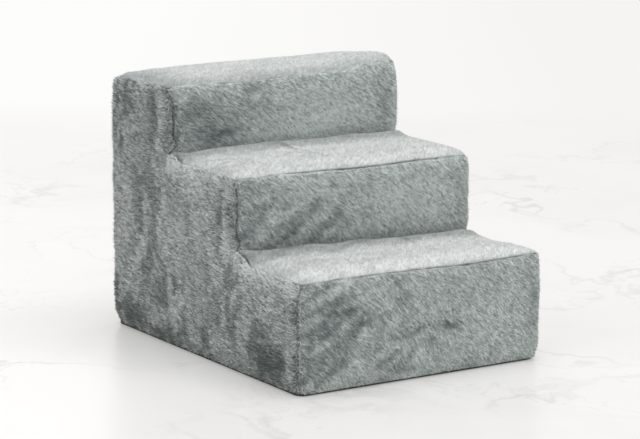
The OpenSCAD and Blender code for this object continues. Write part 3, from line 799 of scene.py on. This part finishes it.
def tufts(name, skin, nap, marks, kind, plane, seed):
    """The pile on one panel: a bent blade or an upright spike for each tuft, leaning along the nap"""
    points, quads, seam = skin
    look = PILES[kind]
    rng = np.random.default_rng(seed)
    normals = vertex_normals(points, quads)
    area = np.linalg.norm(facing(points, quads), axis=1) / 2
    counts = np.floor(area * look["density"] + rng.random(len(area))).astype(int)
    cell = np.repeat(np.arange(len(quads)), counts)
    index = np.arange(len(cell)) - (np.cumsum(counts) - counts)[cell]
    s = (index + rng.random(len(cell))) / counts[cell]
    t = (index * GOLDEN + rng.random(len(quads))[cell] + 0.25 * rng.random(len(cell))) % 1
    weights = np.stack([(1 - s) * (1 - t), s * (1 - t), s * t, (1 - s) * t], axis=1)

    def blended(values):
        return np.einsum("nk,nk...->n...", weights, values[quads[cell]])

    def turned(way, other, angle):
        return way * np.cos(angle)[:, None] + other * np.sin(angle)[:, None]

    root, normal, near = blended(points), unit(blended(normals)), blended(seam)
    count = len(root)

    # The nap, swept by broad noise, and tangled where the pile is caught in the sewing
    tangle = ruffled(root, near)[:, None]
    swirl = np.stack([noise(root, 42, 21 + k) for k in range(3)], axis=1)
    flow = nap + look["swirl"] * swirl + (0.13 + 0.75 * tangle) * rng.normal(size=(count, 3))
    flow = unit(flow - (flow * normal).sum(axis=1, keepdims=True) * normal)
    tone = brushing_and_painted_shade(root[:, plane], marks)
    ruffle = noise(root, 26, 31)
    locks = strands(root, nap)
    lean = look["lean"] + look["lift"] * (ruffle - locks) + look["spread"] * rng.normal(size=count)
    lean = np.radians(np.clip(lean - 30 * (1 - tone) - 30 * tangle[:, 0], *LEANS))

    size = look["length"] * (1 + 0.14 * rng.normal(size=count))
    size = size * (0.45 + 0.55 * ease(near, 8)) * (1 + 0.15 * tangle[:, 0])
    size = size * (1 - 0.55 * bell(np.maximum(past_crease(root), 0) / 6))
    low_way, high_way = (turned(normal, flow, lean * share) for _, share in BEND)
    wide = unit(np.cross(flow, normal))
    wide = turned(wide, np.cross(low_way, wide), np.radians(rng.normal(size=count) * TWIST))
    width = look["width"] * (1 + 0.15 * rng.normal(size=count))[:, None]
    root = root - ROOT_DEPTH * normal
    middle = root + low_way * (size * BEND[0][0])[:, None]
    tip = middle + high_way * (size * BEND[1][0])[:, None]
    # The pile stops short of the floor, and beside the zip short of the slider's way
    beside = (root[:, 1] > BACK - 3) & (np.abs(root[:, 0]) < HALF_W - 4)
    beside = beside & (np.abs(root[:, 2] - ZIP_Z) < ZIP_REACH)
    side = np.sign(root[:, 2] - ZIP_Z)
    clear = ZIP_WAY + 0.4 * (1 + noise(root, 3, 91))
    for end in (middle, tip):
        height = np.maximum(end[:, 2], HEM_LOW)
        end[:, 2] = np.where(beside, ZIP_Z + side * np.maximum(side * (height - ZIP_Z), clear), height)
    verts = np.stack([root - wide * width * 0.42, root + wide * width * 0.42,
                      middle + wide * width * 0.5, middle - wide * width * 0.5, tip], axis=1)

    grain = (look["grain"] + 0.1 * tangle[:, 0]) * rng.normal(size=count)
    level = broad_tone(root, near, look, marks, plane) * (1 + grain) * (1 + look["streak"] * locks)
    level = level * (1 + 0.55 * tangle[:, 0] * noise(root, 5, 78))
    level = np.clip(level, TONE_LOW, SIDE_TONE_HIGH if plane == SIDE_PLANE else TONE_HIGH)
    # Tones from root to tip: the darker root is painted shade deep in the pile
    values = level[:, None] * np.array(look["tones"])[[0, 0, 1, 1, 2]]
    face = np.cross(verts[:, 1] - verts[:, 0], verts[:, 2] - verts[:, 0])
    face = unit(face) * np.sign((face * normal).sum(axis=1, keepdims=True))
    shown = np.repeat(unit((1 - look["blend"]) * face + look["blend"] * normal)[:, None], 5, axis=1)
    if look["spikes"]:
        verts, values, shown = spikes(root, unit(tip - root), size, width, normal, values, look["blend"])

    flat = root[:, plane]
    order = np.argsort(flat[:, 0], kind="stable")
    pieces = np.array_split(order, math.ceil(count / PIECE_TUFTS))
    for n, part in enumerate(pieces):
        label = name if len(pieces) == 1 else f"{name}_{n + 1}"
        piece = blades(label, verts[part], values[part], shown[part], flat[part])
        dress(piece, look["material"])


def spikes(root, way, size, width, normal, values, blend):
    """Upright tufts with three sides, which look alike from all round"""
    side = unit(np.cross(way, unit(np.cross(way, X + 0.3 * Y))))
    other = np.cross(way, side)
    outs = [math.cos(angle) * side + math.sin(angle) * other for angle in np.radians((0, 120, 240))]
    verts = [root + 0.58 * width * out for out in outs] + [root + size[:, None] * way]
    shown = [unit((1 - blend) * out + blend * normal) for out in outs] + [normal]
    return np.stack(verts, axis=1), values[:, [0, 0, 0, 4]], np.stack(shown, axis=1)


# Corners and faces of a tuft with five points, which is a blade, and with four, which is a spike,
# and where each corner lies in the tuft's cell on the map
TUFT_FACES = {5: ([0, 1, 2, 3, 3, 2, 4], [4, 3]), 4: ([0, 1, 3, 1, 2, 3, 2, 0, 3], [3, 3, 3])}
TUFT_MAP = {5: [(0.08, 0.04), (0.92, 0.04), (0.92, 0.54), (0.08, 0.54),
                (0.08, 0.54), (0.92, 0.54), (0.5, 0.98)],
            4: 3 * [(0.08, 0.04), (0.92, 0.04), (0.5, 0.98)]}


def blades(name, verts, values, normals, flat):
    """One piece of pile from the corners of each tuft, with its tones and its shading normals"""
    count, corners_each = verts.shape[:2]
    pattern, totals = TUFT_FACES[corners_each]
    at = np.arange(count)[:, None]
    mesh = bpy.data.meshes.new(name)
    mesh.vertices.add(corners_each * count)
    mesh.vertices.foreach_set("co", (verts * MM).ravel())
    mesh.loops.add(len(pattern) * count)
    mesh.loops.foreach_set("vertex_index", (corners_each * at + np.array(pattern)).ravel())
    mesh.polygons.add(len(totals) * count)
    starts = np.cumsum(totals) - totals
    mesh.polygons.foreach_set("loop_start", (len(pattern) * at + starts).ravel())
    mesh.polygons.foreach_set("loop_total", np.tile(totals, count))
    mesh.polygons.foreach_set("use_smooth", np.ones(len(totals) * count, bool))

    # Each tuft has a cell of its own on the OFBake map, near its root's place
    side = math.ceil(math.sqrt(count))
    column = np.empty(count, int)
    column[np.argsort(flat[:, 0], kind="stable")] = np.arange(count) // side
    order = np.lexsort((flat[:, 1], column))
    row = np.empty(count, int)
    row[order] = np.arange(count) - np.searchsorted(column[order], column[order])
    shape = np.array(TUFT_MAP[corners_each])
    corner = np.stack([column, row], axis=1)[:, None, :]
    layer = mesh.uv_layers.new(name="OFBake")
    layer.data.foreach_set("uv", ((corner + shape) / side).ravel())

    add_tone(mesh, values)
    mesh.update(calc_edges=True)
    mesh.normals_split_custom_set_from_vertices(normals.reshape(-1, 3).tolist())
    return add_object(name, mesh)


def cover(node, skin, nap, marks, kind, plane, seed):
    """One panel of the cover: its backing, which stands for the CAD panel, and its pile"""
    name = node.rpartition("_")[0]
    points, quads, seam = skin
    backing = new_mesh(name + "_cover", points, quads)
    add_tone(backing.data, np.clip(broad_tone(points, seam, PILES[kind], marks, plane), TONE_LOW, TONE_HIGH))
    thicken(backing, BACKING_T, -1)
    dress(backing, PILES[kind]["backing_material"])
    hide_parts(node)
    tufts(name + "_pile", skin, nap, marks, kind, plane, seed)


for kind, look in PILES.items():
    look["material"] = pile_material(kind + "_pile", look["color"], look["own_grain"])
    look["backing_material"] = backing_material(kind + "_backing", look["color"], *look["backing"])

# Marks, partly of brushing and partly painted shade and highlight, such as painted shade in the inner corners
# and painted highlight along the nosings: across, up, half length and half width in mm, angle in degrees and
# depth of tone in percent, which is below zero where the pile is lighter
LOWER_MARKS = [
    (0, LOWER + 6, 330, 13, 0, -8), (0, 80, 500, 200, 0, 5), (-156, 92, 34, 16, 55, 16),
    (-142, 110, 32, 6, 8, 22), (-86, 94, 36, 6, 10, 22), (-27, 68, 28, 6, 12, 20), (30, 72, 30, 6, 0, 18),
    (39, 70, 8, 8, 0, 20), (8, 51, 9, 8, 0, 20), (-43, 114, 9, 7, 0, 14), (76, 17, 20, 7, -20, 14),
    (-138, 36, 26, 6, 26, 20), (-60, 38, 28, 6, 12, 16), (-20, 41, 16, 9, 0, -10), (178, 78, 10, 60, 0, 12),
    (-185, 60, 7, 60, 0, 10), (120, 60, 50, 50, 0, -4)]
MIDDLE_MARKS = [
    (0, MIDDLE + 6, 330, 13, 0, -8), (90, 195, 120, 70, 0, -5), (-110, 196, 34, 12, 18, 20),
    (-130, 168, 42, 9, 10, 20), (-168, 245, 16, 14, 0, 18), (61, 162, 8, 6, 0, 25),
    (-20, 225, 60, 12, 14, 6), (176, 200, 10, 60, 0, 10), (100, 200, 60, 40, 0, -5)]
UPPER_MARKS = [
    (0, UPPER + 6, 330, 16, 0, -5), (50, 286, 130, 26, 0, -16), (-130, 310, 52, 34, -30, 22),
    (-150, 288, 40, 13, 8, 12), (-98, 290, 30, 5, 10, 22), (60, 312, 70, 30, 0, -8),
    (-150, 330, 14, 10, 0, 12), (20, 300, 60, 10, 8, 6), (162, 320, 14, 45, 0, 16), (-40, 276, 70, 7, 4, -8)]
SIDE_MARKS = [
    (127, 318, 40, 11, 88, 20), (-47, 205, 34, 11, 88, 20), (26, 180, 42, 10, 74, 20),
    (-66, 216, 26, 10, 70, 20), (-20, 120, 48, 11, 88, 18), (-180, 34, 38, 20, -20, 24),
    (185, 22, 45, 16, 0, 16), (74, 14, 52, 12, 0, 16), (62, 46, 36, 14, 0, -12), (205, 200, 26, 90, 0, -5),
    (0, 26, 320, 34, 0, 6), (-150, 55, 40, 30, 0, 8), (175, 300, 95, 65, 0, 8), (60, 150, 130, 60, 0, -5)]
LOWER_TREAD_MARKS = [
    (-10, MIDDLE_Y - 14, 330, 32, 0, 22), (-130, MIDDLE_Y - 30, 50, 14, 20, 8),
    (-60, MIDDLE_Y - 50, 40, 9, 15, 12), (60, MIDDLE_Y - 44, 50, 9, 10, 10),
    (150, MIDDLE_Y - 34, 40, 8, -10, 8), (10, MIDDLE_Y - 23, 58, 5, 18, 14),
    (66, MIDDLE_Y - 32, 32, 5, -88, 15), (0, FRONT + 8, 330, 26, 0, -12)]
MIDDLE_TREAD_MARKS = [
    (-10, UPPER_Y - 14, 330, 34, 0, 24), (150, UPPER_Y - 40, 60, 30, 0, 5),
    (-70, UPPER_Y - 52, 40, 9, 12, 10), (40, UPPER_Y - 50, 50, 9, -8, 8), (0, MIDDLE_Y + 8, 330, 24, 0, -5),
    (-22, UPPER_Y - 52, 55, 5, -83, 15), (-12, UPPER_Y - 50, 50, 4, -83, -6)]
TOP_MARKS = [
    (20, UPPER_Y - 2, 300, 24, 0, 10), (-185, BACK - 60, 50, 110, 0, 14)]

# The way each nap lies
RISER_NAP = unit(X - Z)
UPPER_RISER_NAP = unit(1.2 * X - 0.9 * Z)
SIDE_NAP = unit(0.95 * Y + 0.3 * Z)
TREAD_NAP = unit(0.6 * X + 0.75 * Y)
BACK_NAP = unit(-0.2 * X - Z)

# Panels of the cover, by kind of pile and plane of the marks: CAD node, shape, nap and brushed marks
COVERS = [
    ("side", SIDE_PLANE, [
        ("left_side_panel", side_panel(-1), SIDE_NAP, SIDE_MARKS),
        ("right_side_panel", side_panel(1), SIDE_NAP, ())]),
    ("riser", RISER_PLANE, [
        ("lower_riser_panel", riser(FRONT, FLOOR, LOWER, "hem"), RISER_NAP, LOWER_MARKS),
        ("middle_riser_panel", riser(MIDDLE_Y, LOWER, MIDDLE, "crease"), RISER_NAP, MIDDLE_MARKS),
        ("upper_riser_panel", riser(UPPER_Y, MIDDLE, UPPER, "crease"), UPPER_RISER_NAP, UPPER_MARKS)]),
    ("tread", TREAD_PLANE, [
        ("lower_tread_panel", tread(LOWER, FRONT, MIDDLE_Y, "crease"), TREAD_NAP, LOWER_TREAD_MARKS),
        ("middle_tread_panel", tread(MIDDLE, MIDDLE_Y, UPPER_Y, "crease"), TREAD_NAP, MIDDLE_TREAD_MARKS),
        ("top_panel", tread(UPPER, UPPER_Y, BACK, "nosing"), TREAD_NAP, TOP_MARKS)]),
    ("side", RISER_PLANE, [
        ("back_panel", back(ZIP_Z + ZIP_LIP, UPPER - ZIP_Z - ZIP_LIP, "lip", "nosing"), BACK_NAP, ()),
        ("back_lower_strip", back(FLOOR, ZIP_Z - ZIP_LIP - FLOOR, "hem", "lip"), BACK_NAP, ())])]
seed = 101
for kind, plane, rows in COVERS:
    for row in rows:
        cover(*row, kind, plane, seed)
        seed += 1


def make_foam():
    n = Nodes("foam")
    cells = n.make("TexVoronoi", Scale=700.0, Vector=n.place())["Distance"]
    foam = n.textured(cells, (0.7, 0.0008), FOAM_COLOR, (0.72, 1.05), 0.95, Sheen_Weight=0.1)
    faces = [(0, 1, 3, 2), (4, 6, 7, 5), (0, 4, 5, 1), (2, 3, 7, 6), (0, 2, 6, 4), (1, 5, 7, 3)]
    for node in ("foam_lower_slab", "foam_middle_slab", "foam_upper_slab"):
        low, high = box_mm(node)
        corners = np.where(list(np.ndindex(2, 2, 2)), high, low)
        piece = new_mesh(node.replace("_slab", "_block"), corners, faces)
        bevel(piece, "round", 2, 3)
        dress(piece, foam)
        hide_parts(node)


make_foam()


def circle(angle):
    return np.stack([np.cos(angle), np.sin(angle)], axis=1)


def make_base():
    """The non-slip base: dark fabric with rows of rubber dots under it"""
    n = Nodes("base_fabric")
    fabric = n.textured(n.wave(450.0), (0.4, 0.0004), BASE_COLOR, (0.7, 1.3), 0.85, Sheen_Weight=0.1)
    n = Nodes("rubber")
    rubber = n.textured(n.noise(600, 2), (0.3, 0.0002), RUBBER_COLOR, (0.8, 1.2), 0.55)
    low, high = box_mm("base_panel")
    spread, headroom, dot_h, corner = 1.2, 0.3, 0.6, 13

    # The sheet, with round corners
    turn = np.linspace(0, np.pi / 2, 8)
    outline = []
    for quarter, way in enumerate(np.array([(1, 1), (-1, 1), (-1, -1), (1, -1)])):
        centre = np.where(way > 0, high[:2], low[:2]) + way * (spread - corner)
        outline.append(centre + corner * circle(turn + quarter * np.pi / 2))
    outline = np.concatenate(outline)
    at = np.arange(len(outline))
    after = np.roll(at, -1)
    points = [np.column_stack([outline, 0 * at + z]) for z in (dot_h, high[2] - headroom)]
    faces = np.stack([at, after, after + len(at), at + len(at)], axis=1).tolist()
    faces = [at[::-1].tolist(), (at + len(at)).tolist()] + faces
    base = new_mesh("base_fabric", np.concatenate(points), faces, False)
    bevel(base, "round", 0.3)
    dress(base, fabric)
    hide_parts("base_panel")

    # The dots, each from three rings and a tip
    pitch, radius, sides, margin = 13.0, 2.6, 12, 14
    xs = np.arange(low[0] + margin, high[0] - margin, pitch)
    ys = np.arange(low[1] + margin, high[1] - margin, pitch)
    centres = np.array([(x + pitch / 2 * (j % 2), y, 0) for j, y in enumerate(ys) for x in xs])
    centres = centres[centres[:, 0] < high[0] - margin]
    ring = circle(2 * np.pi * np.arange(sides) / sides)
    rings = [np.column_stack([share * radius * ring, np.full(sides, z)])
             for share, z in ((1, dot_h + 0.15), (0.94, dot_h * 0.45), (0.6, 0.06))]
    dot = np.concatenate(rings + [np.zeros((1, 3))])
    k = np.arange(sides)
    after = np.roll(k, -1)
    faces = [np.stack([i + k, i + sides + k, i + sides + after, i + after], axis=1) for i in (0, sides)]
    faces = np.concatenate(faces).tolist()
    faces += [[2 * sides + i, 3 * sides, 2 * sides + j] for i, j in zip(k, after)]
    faces = [[i + m * len(dot) for i in face] for m in range(len(centres)) for face in faces]
    dots = new_mesh("grip_dots", (dot + centres[:, None]).reshape(-1, 3), faces)
    dress(dots, rubber)


make_base()


def make_zip():
    """Woven tapes for the soft ones, and finishes and worn edges for the teeth, stops, slider and pull"""
    n = Nodes("zip_tape")
    weave = n.math("MAXIMUM", n.wave(330.0), n.wave(330.0, "Z"))
    tape = n.textured(weave, (0.5, 0.0003), TAPE_COLOR, (0.6, 1.15), 0.9, Sheen_Weight=0.2)
    end = box_mm("zip_stops")[1][0]
    for node in ("zip_upper_tape", "zip_lower_tape"):
        low, high = box_mm(node)
        # The tapes reach the side panels, and past the stops they widen until they meet
        up = 1 if low[2] > ZIP_Z else -1
        inner, outer = (low[2], high[2])[::up]
        meet = ZIP_Z + 0.1 * up
        columns = np.linspace(-HALF_W - 1, HALF_W + 1, 190)
        columns = np.sort(np.append(columns, [-end - 0.4, -end - 0.1, end + 0.1, end + 0.4]))
        x, across = np.meshgrid(columns, np.linspace(0, 1, 8))
        z = outer + (np.where(np.abs(x) > end + 0.25, meet, inner) - outer) * across
        y = (low[1] + high[1]) / 2 + 0.15 * noise(np.stack([x, 0 * x, z], axis=-1), 17, 61)
        points = np.stack([x, y, z], axis=-1).reshape(-1, 3)
        piece = new_mesh(node + "_woven", points, grid_quads(*x.shape))
        thicken(piece, high[1] - low[1], 0)
        dress(piece, tape)
        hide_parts(node)
    n = Nodes("zip_teeth")
    grain = n.noise(1500, 2)
    teeth = n.finish(n.shade(TEETH_COLOR, n.ramp(grain, 0.8, 1.2)), n.ramp(grain, 0.32, 0.48))
    n = Nodes("zip_metal")
    grain = n.noise(900, 3)
    n.bump(grain, 0.1, 0.0001)
    metal = n.finish(n.shade(METAL_COLOR, n.ramp(grain, 0.9, 1.08)), n.ramp(grain, 0.22, 0.38), Metallic=1.0)
    finishes = {"zip_upper_teeth": (teeth, 0.25), "zip_lower_teeth": (teeth, 0.25), "zip_stops": (metal, 0.3),
                "zip_slider": (metal, 0.25), "zip_pull": (metal, 0.25)}
    for node, (material, radius) in finishes.items():
        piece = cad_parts[node]
        piece.data.materials.clear()
        piece.data.materials.append(material)
        bevel(piece, "worn_edges", radius)


make_zip()

# Half the floor's width, in millimetres
FLOOR_HALF = 6000
# The rest of the floor, the walls and the light are in metres
FLOOR_DROP = -0.0003
FLOOR_COLOR = (0.905, 0.893, 0.878)
VEIN_COLOR = (0.55, 0.54, 0.53)
WALL_COLOR = (0.914, 0.904, 0.888)
# The wall is lighter to the left, painted light across the backdrop
WALL_LEFT = (0.981, 0.978, 0.973)
WALL_FOOT = (1.3, 2.1)
# Share of the floor's own colour that the camera sees without shadow
FLOOR_GLOW = 0.3
WORLD_LIGHT = 0.6
# Name, place, width and watts
LAMPS = [("overhead", (0.3, -0.2, 3.2), 2.6, 49), ("front", (1.6, -2.6, 2.2), 2.0, 10),
         ("left", (-3.0, -1.0, 1.6), 2.0, 10), ("back", (0.8, 3.0, 1.5), 2.0, 7)]
LAMP_AIM = Vector((0, 0, 0.15))


def make_floor():
    """Pale marble, which turns into the plain wall colour some way behind the stairs"""
    n = Nodes("marble")
    place = n.place()
    bend = n.make("TexNoise", Scale=2.6, Detail=6.0, Vector=place)["Color"]
    bent = n.make("VectorMath", bend, (0.5, 0.5, 0.5), place, operation="MULTIPLY_ADD")[0]
    color = FLOOR_COLOR
    for scale, width, depth in ((1.5, 0.012, 0.5), (3.2, 0.008, 0.35)):
        line = n.math("ABSOLUTE", n.math("SUBTRACT", n.noise(scale, 4, bent, 0.6), 0.5))
        mask = n.ramp(line, 1.0, 0.0, 0.0, width)
        patchy = n.ramp(n.noise(2.4, 2), 0.0, depth, 0.42, 0.66)
        color = n.mix(n.math("MULTIPLY", mask, patchy), color, VEIN_COLOR)
    cloud = n.ramp(n.noise(3.0, 4, bent), 0.0, 0.16, 0.45, 0.8)
    color = n.mix(cloud, color, VEIN_COLOR)
    n.finish(color, 0.30, Specular_IOR_Level=0.3)

    # Past the wall's foot the camera sees the wall's colour
    view = (Vector(CAMERA_AIM) - Vector(CAMERA_PLACE)).to_2d().normalized()
    far = n.ramp(n.dot(place, (*view, 0)), 0.0, 1.0, *WALL_FOOT)
    seen = n.make("LightPath")["Is Camera Ray"]
    across = n.ramp(n.dot(place, (view.y, -view.x, 0)), 0.0, 1.0, -0.5, 0.6)
    wall = n.make("Emission", n.mix(across, WALL_LEFT, WALL_COLOR), 1.0)[0]
    glow = n.make("Emission", color, 1.0)[0]
    lighter = n.mix_shaders(n.math("MULTIPLY", seen, FLOOR_GLOW), n.shader.outputs[0], glow)
    surface = n.mix_shaders(n.math("MULTIPLY", far, seen), lighter, wall)
    n.set(n.tree.nodes["Material Output"].inputs["Surface"], surface)
    corners = FLOOR_HALF * np.array([(-1, -1, 0), (1, -1, 0), (1, 1, 0), (-1, 1, 0)])
    floor = new_mesh("floor", corners, [(0, 1, 2, 3)], False)
    floor.location.z = FLOOR_DROP
    floor.data.materials.append(n.owner)


def make_world():
    """White to the camera and in reflections, and a softer grey as light"""
    world = bpy.data.worlds.new("studio")
    bpy.context.scene.world = world
    n = Nodes(world)
    n.tree.nodes.clear()
    rays = n.make("LightPath")
    seen = n.math("MAXIMUM", rays["Is Camera Ray"], rays["Is Glossy Ray"])
    light = n.make("Background", (1, 1, 1), WORLD_LIGHT)[0]
    shown = n.make("Background", WALL_COLOR)[0]
    n.make("OutputWorld", n.mix_shaders(seen, light, shown))


def make_lamps():
    for name, place, width, power in LAMPS:
        data = bpy.data.lights.new(name, "AREA")
        data.shape = "DISK"
        data.size = width
        data.energy = power
        lamp = add_object(name, data)
        lamp.location = place
        lamp.rotation_euler = (LAMP_AIM - Vector(place)).to_track_quat("-Z", "Y").to_euler()


make_floor()
make_world()
make_lamps()
bpy.context.scene.view_settings.view_transform = "Standard"
